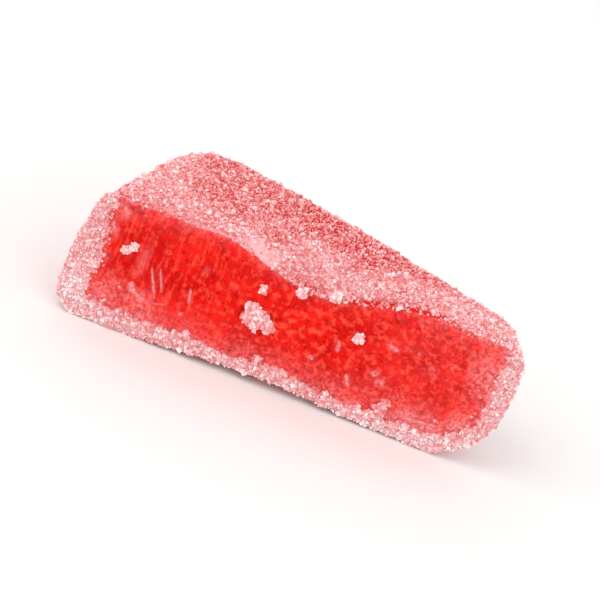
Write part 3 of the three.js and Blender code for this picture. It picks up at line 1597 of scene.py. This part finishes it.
    def tinted(
        self,
        tree: bpy.types.NodeTree,
        given: bpy.types.bpy_prop_collection,
        instances: bpy.types.NodeSocket,
    ) -> bpy.types.NodeSocket:
        """Adds the nodes that tint each crystal, make it real and vary the tint over its facets, as painted
        reflection and refraction.

        Args:
            tree: The scatter's tree.
            given: The tree's inputs.
            instances: The crystals.

        Returns:
            The tinted mesh.
        """
        pale = add_node(
            tree, "GeometryNodeInputNamedAttribute", {"Name": Mask.PALE.value}, data_type="FLOAT"
        )
        chance = add_node(
            tree, "FunctionNodeRandomValue",
            {2: given["Least white"], 3: given["Most white"], "Seed": 8}, data_type="FLOAT",
        )
        whole = add_node(
            tree, "ShaderNodeMath",
            {0: pale.outputs["Attribute"], 1: PALE_TINT, 2: chance.outputs[1]}, operation="MULTIPLY_ADD",
        )
        stored = add_node(
            tree, "GeometryNodeStoreNamedAttribute",
            {"Geometry": instances, "Name": GRAIN_TINT, "Value": whole.outputs["Value"]},
            data_type="FLOAT", domain="INSTANCE",
        )
        real = add_node(tree, "GeometryNodeRealizeInstances", {"Geometry": stored.outputs["Geometry"]})
        own = add_node(tree, "GeometryNodeInputNamedAttribute", {"Name": GRAIN_TINT}, data_type="FLOAT")
        # Painted reflection and refraction: each facet's tint is moved paler or redder at random, as a clear
        # crystal's facets look in light.
        facet = add_node(
            tree, "FunctionNodeRandomValue", {2: -0.5, 3: 0.5, "Seed": 9}, data_type="FLOAT"
        )
        painted_glint_tint = add_node(
            tree, "ShaderNodeMath",
            {0: facet.outputs[1], 1: given["Painted glint contrast"], 2: own.outputs["Attribute"]},
            operation="MULTIPLY_ADD", use_clamp=True,
        )
        faceted = add_node(
            tree, "GeometryNodeStoreNamedAttribute",
            {"Geometry": real.outputs["Geometry"], "Name": TINT, "Value": painted_glint_tint.outputs["Value"]},
            data_type="FLOAT", domain="FACE",
        )
        return faceted.outputs["Geometry"]

    def tree(self) -> bpy.types.NodeTree:
        """Builds the scatter's tree.

        Returns:
            A tree that takes a surface and gives crystals standing on it, none of them below the ground.
        """
        tree = bpy.data.node_groups.new(self.name, "GeometryNodeTree")
        sockets = {
            "Geometry": "NodeSocketGeometry",
            "Thinning": "NodeSocketString",
            **dict.fromkeys(self.values, "NodeSocketFloat"),
            "Seed": "NodeSocketInt",
            "Finish": "NodeSocketMaterial",
        }
        for name, kind in sockets.items():
            tree.interface.new_socket(name, in_out="INPUT", socket_type=kind)
        tree.interface.new_socket("Geometry", in_out="OUTPUT", socket_type="NodeSocketGeometry")
        given = add_node(tree, "NodeGroupInput").outputs
        points, size = self.scattered(tree, given)
        tinted = self.tinted(tree, given, self.placed(tree, points, size))
        flat = add_node(tree, "GeometryNodeSetShadeSmooth", {"Geometry": tinted, "Shade Smooth": False})
        where = add_node(tree, "GeometryNodeInputPosition")
        on_ground = add_node(
            tree, "ShaderNodeVectorMath",
            {0: where.outputs["Position"], 1: (-1.0, -1.0, 0.0)}, operation="MAXIMUM",
        )
        resting = add_node(
            tree, "GeometryNodeSetPosition",
            {"Geometry": flat.outputs[0], "Position": on_ground.outputs["Vector"]},
        )
        done = add_node(
            tree, "GeometryNodeSetMaterial", {"Geometry": resting.outputs[0], "Material": given["Finish"]}
        )
        add_node(tree, "NodeGroupOutput", {"Geometry": done.outputs[0]})
        return tree

    def build(self, surface: bpy.types.Mesh, finish: bpy.types.Material) -> bpy.types.Object:
        """Scatters the crystals and turns them to a plain mesh.

        Args:
            surface: What they lie on.
            finish: Their material.

        Returns:
            The crystals as one piece.
        """
        carrier = new_piece(self.name + "_carrier", surface)
        modifier = carrier.modifiers.new("crystals", "NODES")
        modifier.node_group = self.tree()
        values = {**self.values, "Thinning": self.mask, "Seed": self.seed, "Finish": finish}
        for socket in modifier.node_group.interface.items_tree:
            if socket.in_out == "INPUT" and socket.name in values:
                modifier[socket.identifier] = values[socket.name]
        ready = carrier.evaluated_get(bpy.context.evaluated_depsgraph_get())
        mesh = bpy.data.meshes.new_from_object(ready)
        carrier.modifiers.clear()
        bpy.data.objects.remove(carrier)
        mesh.name = self.name
        spent = (*Mask, GRAIN_TINT, OUTSIDE, "id")
        for name in [layer.name for layer in mesh.attributes if layer.name in spent]:
            mesh.attributes.remove(mesh.attributes[name])
        return sugar_piece(mesh)


def sugar_piece(mesh: bpy.types.Mesh) -> bpy.types.Object:
    """Makes a mesh of sugar a piece of the part.

    Args:
        mesh: The sugar, whose name the piece takes.

    Returns:
        The piece.
    """
    piece = new_piece(mesh.name, mesh)
    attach(piece, BODY)
    return piece


@dataclass(frozen=True)
class Clump:
    """A mound of grains stuck together on the cut face, in millimetres.

    Attributes:
        along: Its middle, from the wide end.
        high: Its middle, from the base.
        width: Its whole width.
        height: Its whole height.
        lean: How far it is turned on the face, in degrees.
        pale: How much whiter than other grains it is.
    """

    along: float
    high: float
    width: float
    height: float
    lean: float = 0.0
    pale: float = -0.6


@dataclass(frozen=True)
class SugarCoat:
    """All the sugar: the bed on the crusted sides and the rim, and what lies on the cut face.

    Attributes:
        body: The jelly that carries it.
        beds: The kinds of grain on the crusted sides and the rim.
        mounds: The grains on the clumps.
        clumps: The clumps. The first five make up the large one.
        clump_proud: How far a clump's middle stands out, in millimetres.
        core_share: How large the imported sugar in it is, as a share of the clump.
        core_tint: That sugar's tint.
        smear_width: How wide the crushed sugar in a stroke is, as a share of the stroke's width.
        smear_proud: How far it stands out, in millimetres.
        smear_wobble: How uneven its edge is, as a share of the stroke's width, and the unevenness's size.
        smear_tint: Its tint, for a stroke of strength 1.
        smear_grain_mm: The size of the tint's unevenness.
        smear_seed: Fixes their edges.
    """

    body: JellyBody
    beds: tuple[CrystalBed, ...] = (
        CrystalBed("sugar_rim", Mask.RIM.value, 0.15, 40.0, 0.16, 0.32, 0.1, (0.1, 0.68), seed=17),
        CrystalBed("sugar_bed", Mask.FINE.value, 0.16, 34.0, 0.17, 0.32, 0.1, (0.08, 0.72), seed=11),
        CrystalBed("sugar_grains", Mask.MAIN.value, 0.32, 7.0, 0.32, 0.5, 0.12, (0.2, 0.8), seed=23),
        CrystalBed(
            "sugar_coarse", Mask.COARSE.value, 0.55, 2.4, 0.45, 0.72, 0.22, (0.35, 0.95), Habit.CHAMFERED, 37
        ),
    )
    mounds: CrystalBed = CrystalBed(
        "sugar_clumps", OUTSIDE, 0.19, 30.0, 0.26, 0.48, 0.12, (0.38, 0.96), seed=53
    )
    clumps: tuple[Clump, ...] = (
        Clump(16.45, 6.8, 1.4, 1.6, 0.0, 0.0),
        Clump(17.2, 6.4, 1.8, 1.5, -25.0, 0.0),
        Clump(18.0, 5.8, 1.8, 1.2, -25.0, 0.0),
        Clump(16.3, 5.9, 1.3, 1.1, 0.0, 0.0),
        Clump(17.0, 5.5, 1.5, 1.1, 0.0, 0.0),
        Clump(4.65, 7.5, 0.8, 0.65, 0.0, 0.2),
        Clump(5.15, 8.05, 0.85, 0.65, 40.0, 0.2),
        Clump(2.5, 5.3, 0.8, 0.8, 0.0, 0.5),
        Clump(16.65, 8.8, 0.6, 0.75, 0.0, 0.5),
        Clump(19.8, 9.8, 0.95, 0.85, 0.0, 0.4),
        Clump(22.6, 10.55, 1.1, 1.0, 0.0, 0.3),
        Clump(25.7, 7.8, 1.0, 1.0, 0.0, 0.3),
        Clump(18.3, 2.4, 0.9, 0.7),
        Clump(29.7, 2.9, 0.75, 0.9, 0.0, -0.2),
        Clump(29.5, 2.1, 1.1, 1.1, 0.0, -0.2),
        Clump(29.1, 1.4, 1.4, 0.9, 0.0, -0.2),
    )
    clump_proud: float = 0.36
    core_share: float = 0.85
    core_tint: float = 0.58
    smear_width: float = 0.7
    smear_proud: float = 0.07
    smear_wobble: tuple[float, float] = (0.5, 0.4)
    smear_tint: float = 0.3
    smear_grain_mm: float = 0.25
    smear_seed: int = 3

    def on_face(
        self, centre: tuple[float, float], half: tuple[float, float, float], turn: Matrix
    ) -> Matrix:
        """Returns what takes a ball of radius 1 to a place on the cut face.

        Args:
            centre: Its middle, along and high, in millimetres.
            half: Half its sizes along, out of the face and up, in millimetres.
            turn: Turns it on the face.

        Returns:
            The matrix.
        """
        place = Vector(self.body.place.to_row(self.body.shape.on_cut(*centre)[None])[0])
        return Matrix.Translation(place) @ turn @ Matrix.Diagonal((*(size * MM for size in half), 1.0))

    def clump_cores(self) -> bpy.types.Mesh:
        """Builds the low mounds of packed sugar that the clumps' crystals stand on.

        Returns:
            The mounds as one mesh, with the tint, and the paleness that their crystals take up.
        """
        work = bmesh.new()
        paleness = []
        for clump in self.clumps:
            half = (clump.width / 2, self.clump_proud, clump.height / 2)
            turn = Euler((0.0, math.radians(-clump.lean), 0.0)).to_matrix().to_4x4()
            place = self.on_face((clump.along, clump.high), half, turn)
            made = bmesh.ops.create_icosphere(work, subdivisions=3, radius=self.core_share, matrix=place)
            paleness += [clump.pale] * len(made["verts"])
        mesh = bpy.data.meshes.new("sugar_cores")
        work.to_mesh(mesh)
        work.free()
        pale = np.array(paleness, np.float32)
        layers = {OUTSIDE: np.ones_like(pale), TINT: self.core_tint + PALE_TINT * pale, Mask.PALE.value: pale}
        for name, values in layers.items():
            mesh.attributes.new(name, "FLOAT", "POINT").data.foreach_set("value", values.astype(np.float32))
        return mesh

    def smears(self) -> bpy.types.Mesh:
        """Builds the slivers of crushed sugar that the blade drew out along its strokes.

        Returns:
            The slivers as one mesh, with the tint.
        """
        noise.seed_set(self.smear_seed)
        work = bmesh.new()
        tints = []
        wobble_share, wobble_mm = self.smear_wobble
        for stroke in self.body.sugar.strokes:
            if not stroke.holds_sugar:
                continue
            upper, lower = np.array(stroke.upper), np.array(stroke.lower)
            run = upper - lower
            half = (self.smear_width * stroke.width, self.smear_proud, float(np.linalg.norm(run)) / 2)
            place = self.on_face((upper + lower) / 2, half, Matrix.Rotation(math.atan2(*run), 4, "Y"))
            made = bmesh.ops.create_icosphere(work, subdivisions=4, radius=1.0, matrix=place)
            for vertex in made["verts"]:
                wobble = noise.noise_vector(vertex.co / (wobble_mm * MM)) * stroke.width * wobble_share * MM
                vertex.co += Vector((wobble.x, 0.0, wobble.z))
                grain = noise.noise(vertex.co / (self.smear_grain_mm * MM))
                tints.append(self.smear_tint * stroke.strength * (1.0 + grain))
        mesh = bpy.data.meshes.new("sugar_smears")
        work.to_mesh(mesh)
        work.free()
        mesh.attributes.new(TINT, "FLOAT", "POINT").data.foreach_set("value", np.array(tints, np.float32))
        return mesh

    def build(self, jelly: bpy.types.Object) -> list[bpy.types.Object]:
        """Builds every kind of sugar.

        Args:
            jelly: The finished jelly body.

        Returns:
            The pieces.
        """
        crystals = GranulatedSugar().make()
        pieces = [bed.build(jelly.data, crystals) for bed in self.beds]
        cores = self.clump_cores()
        pieces.append(self.mounds.build(cores, crystals))
        for mesh in (cores, self.smears()):
            mesh.materials.append(crystals)
            pieces.append(sugar_piece(mesh))
        return pieces


# ---------------------------------------------------------------------------------------------------------
# The studio


@dataclass(frozen=True)
class SoftBox:
    """One square lamp.

    Attributes:
        name: Its name.
        place: Where it hangs, in metres.
        size: The length of its sides.
        power: Its power in watts.
    """

    name: str
    place: tuple[float, float, float]
    size: float
    power: float

    def hang(self, aim: Vector) -> None:
        """Hangs it so that it points at a place.

        Args:
            aim: The place.
        """
        light = bpy.data.lights.new(self.name, "AREA")
        light.size = self.size
        light.energy = self.power
        lamp = bpy.data.objects.new(self.name, light)
        lamp.location = self.place
        lamp.rotation_euler = (aim - Vector(self.place)).to_track_quat("-Z", "Y").to_euler()
        bpy.context.scene.collection.objects.link(lamp)


@dataclass
class Studio:
    """A white paper floor, soft light from all round and a long lens. Lengths are in metres.

    Attributes:
        elevation: How far above the horizon the camera looks from, in degrees.
        roll: How far the camera is turned about its own axis, in degrees.
        distance: From the camera to the piece.
        view_width: How wide a strip of the piece's middle fills the frame.
        sensor_mm: The width of the camera's sensor.
        near: The nearest thing that it sees.
        floor_size: The length of the paper's sides.
        room_light: How bright the white room is.
        aim: Where the camera and the lamps point.
        lamps: A key from the left and a fill from the front.
    """

    elevation: float = 26.0
    roll: float = 21.4
    distance: float = 0.42
    view_width: float = 0.0515
    sensor_mm: float = 36.0
    near: float = 0.01
    floor_size: float = 12.0
    room_light: float = 0.95
    aim: Vector = field(default_factory=lambda: Vector((0.0, -0.0016, 0.0058)))
    lamps: tuple[SoftBox, ...] = (
        SoftBox("key_box", (-0.35, -0.25, 0.55), 0.45, 1.0),
        SoftBox("front_box", (0.25, -0.6, 0.3), 0.5, 0.6),
    )

    def floor(self) -> None:
        """Lays the paper."""
        half = self.floor_size / 2
        corners = [(-half, -half, 0), (half, -half, 0), (half, half, 0), (-half, half, 0)]
        mesh = bpy.data.meshes.new("paper_floor")
        mesh.from_pydata(corners, [], [(0, 1, 2, 3)])
        mesh.materials.append(StudioPaper().make())
        new_piece("paper_floor", mesh)

    def lights(self) -> None:
        """Fills the room with even light and hangs the lamps."""
        world = bpy.data.worlds.new("white_room")
        world.use_nodes = True
        room = world.node_tree.nodes["Background"]
        room.inputs["Color"].default_value = (1.0, 1.0, 1.0, 1.0)
        room.inputs["Strength"].default_value = self.room_light
        bpy.context.scene.world = world
        for lamp in self.lamps:
            lamp.hang(self.aim)

    def camera(self) -> None:
        """Sets the long lens at the piece's front, looking down on it."""
        rise = math.radians(self.elevation)
        lens = bpy.data.cameras.new("long_lens")
        lens.sensor_width = self.sensor_mm
        lens.lens = self.sensor_mm * self.distance / self.view_width
        lens.clip_start = self.near
        camera = bpy.data.objects.new("camera", lens)
        back = Vector((0.0, -math.cos(rise), math.sin(rise)))
        camera.location = self.aim + back * self.distance
        level = (-back).to_track_quat("-Z", "Y").to_matrix()
        camera.rotation_euler = (level @ Matrix.Rotation(math.radians(self.roll), 3, "Z")).to_euler()
        bpy.context.scene.collection.objects.link(camera)
        bpy.context.scene.camera = camera

    def build(self) -> None:
        """Sets up everything that isn't the piece."""
        bpy.context.scene.view_settings.view_transform = "Standard"
        self.camera()
        self.floor()
        self.lights()


def main() -> None:
    """Builds the candy and the studio, and logs each piece's numbers of vertices and faces."""
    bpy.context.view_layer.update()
    Studio().build()
    shape = WedgeShape()
    body = JellyBody(shape, Place(shape), SugarMap(shape, SugarRim(shape)))
    jelly = body.build()
    body.dress(jelly)
    pieces = [jelly, *SugarCoat(body).build(jelly)]
    for piece in pieces:
        LOG.info("%s: %d vertices, %d faces", piece.name, len(piece.data.vertices), len(piece.data.polygons))


if __name__ == "__main__":
    logging.basicConfig(level=logging.INFO, format="%(name)s: %(message)s")
    main()
